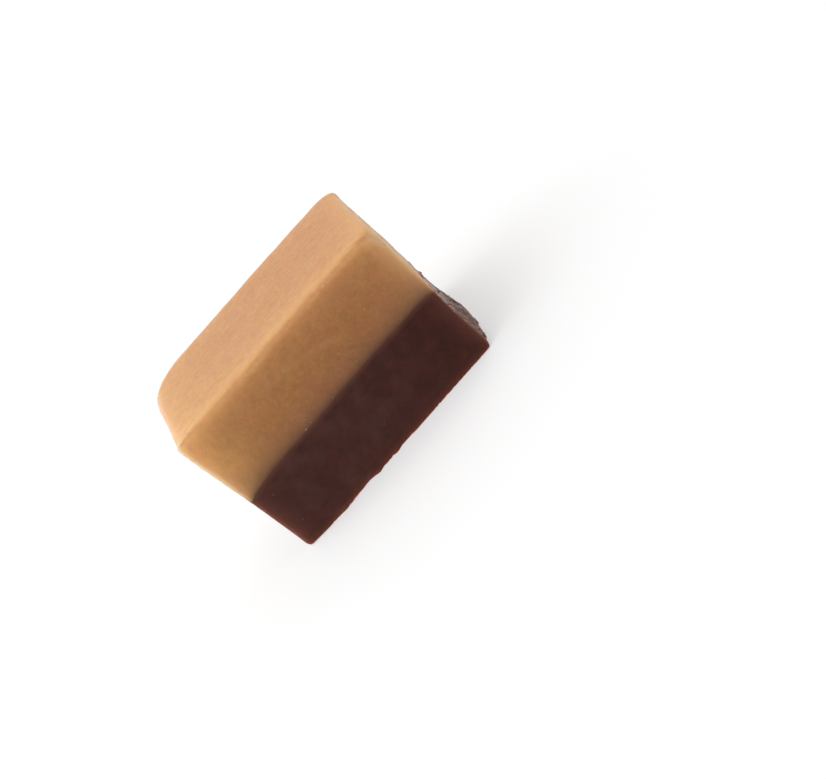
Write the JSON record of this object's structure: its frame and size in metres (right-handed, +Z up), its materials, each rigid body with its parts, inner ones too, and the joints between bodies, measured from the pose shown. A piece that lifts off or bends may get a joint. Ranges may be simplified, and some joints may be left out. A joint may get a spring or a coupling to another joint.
{
  "type": "fudge square",
  "caption": "Hand-cut block of layered fudge, pale caramel set on dark chocolate, with softened top edges and one rounded corner; rests on its chocolate side.",
  "frame": {"origin": "middle of the block's box, at the flat base of the chocolate layer", "axes": "+X along the block's length to the broken end, +Y to the back, where the rounded corner is, +Z up through the chocolate and then the caramel"},
  "size_m": [0.028, 0.0186, 0.0172],
  "materials": {
    "caramel_fudge": "satin",
    "chocolate_fudge": "satin"
  },
  "bodies": {
    "root": {"caramel_layer": "caramel_fudge", "chocolate_layer": "chocolate_fudge"}
  },
  "joints": []
}
